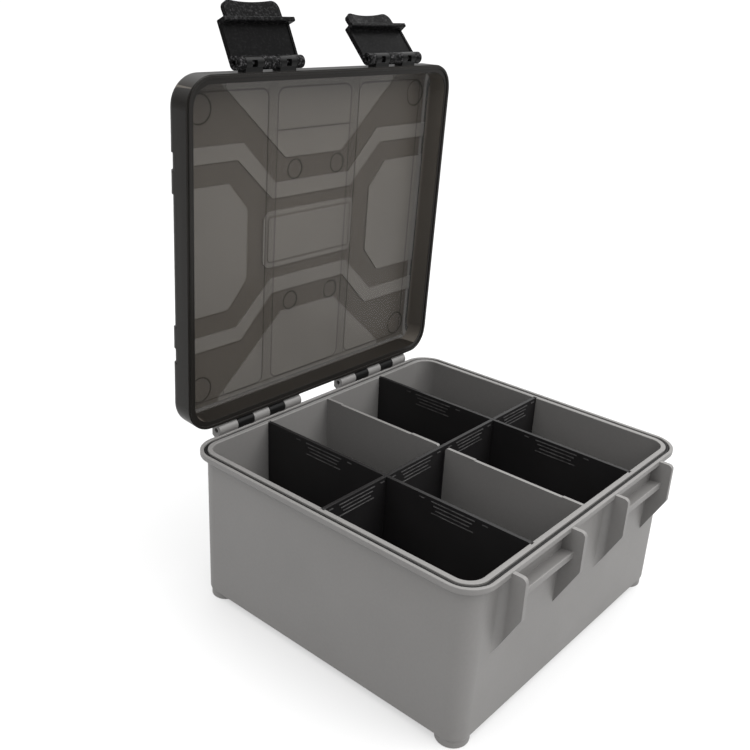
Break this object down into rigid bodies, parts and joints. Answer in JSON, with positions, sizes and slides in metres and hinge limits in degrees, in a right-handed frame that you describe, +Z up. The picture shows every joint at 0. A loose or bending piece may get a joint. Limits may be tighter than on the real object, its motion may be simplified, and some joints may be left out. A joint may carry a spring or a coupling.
{
  "type": "storage box",
  "caption": "Square hard plastic storage box with a hinged smoked lid, swing latches, a rubber rim seal and lift-out dividers that slot together.",
  "frame": {"origin": "on the surface that the box stands on, under the middle of the whole outline with the lid open and the latches swung up", "axes": "+Z up, +X to the right as seen from the latch side, -Y towards the latch side, +Y towards the hinges"},
  "size_m": [0.2072, 0.2196, 0.321],
  "materials": {
    "tub_plastic": "fine matte grey moulded plastic",
    "lid_plastic": "smoked translucent moulded plastic, satin outside and glossy inside",
    "latch_plastic": "black textured moulded plastic",
    "divider_plastic": "black satin moulded plastic",
    "seal_rubber": "dark soft rubber cord",
    "pin_steel": "plain drawn steel wire"
  },
  "bodies": {
    "base": {"tub": "tub_plastic", "rim_seal": "seal_rubber", "hinge_pin_left": "pin_steel", "hinge_pin_right": "pin_steel"},
    "lid": {"lid": "lid_plastic", "latch_pin_left": "pin_steel", "latch_pin_right": "pin_steel"},
    "latch_left": {"latch_left": "latch_plastic"},
    "latch_right": {"latch_right": "latch_plastic"},
    "cross_divider": {"cross_divider": "divider_plastic"},
    "divider_left": {"divider_left": "divider_plastic"},
    "divider_right": {"divider_right": "divider_plastic"}
  },
  "joints": [
    {"name": "lid_hinge", "type": "hinge", "parent": "base", "child": "lid", "pos_m": [0, 0.09196, 0.0962], "axis": [-1, 0, 0], "range_deg": [-88, 0]},
    {"name": "latch_left_hinge", "type": "hinge", "parent": "lid", "child": "latch_left", "pos_m": [-0.0485, 0.0857, 0.2927], "axis": [-1, 0, 0], "range_deg": [-117, 28]},
    {"name": "latch_right_hinge", "type": "hinge", "parent": "lid", "child": "latch_right", "pos_m": [0.0485, 0.0857, 0.2927], "axis": [-1, 0, 0], "range_deg": [-134, 11]},
    {"name": "cross_divider_lift", "type": "slide", "parent": "base", "child": "cross_divider", "axis": [0, 0, 1], "range_m": [0, 0.092]},
    {"name": "divider_left_lift", "type": "slide", "parent": "cross_divider", "child": "divider_left", "axis": [0, 0, 1], "range_m": [0, 0.092]},
    {"name": "divider_right_lift", "type": "slide", "parent": "cross_divider", "child": "divider_right", "axis": [0, 0, 1], "range_m": [0, 0.092]}
  ]
}
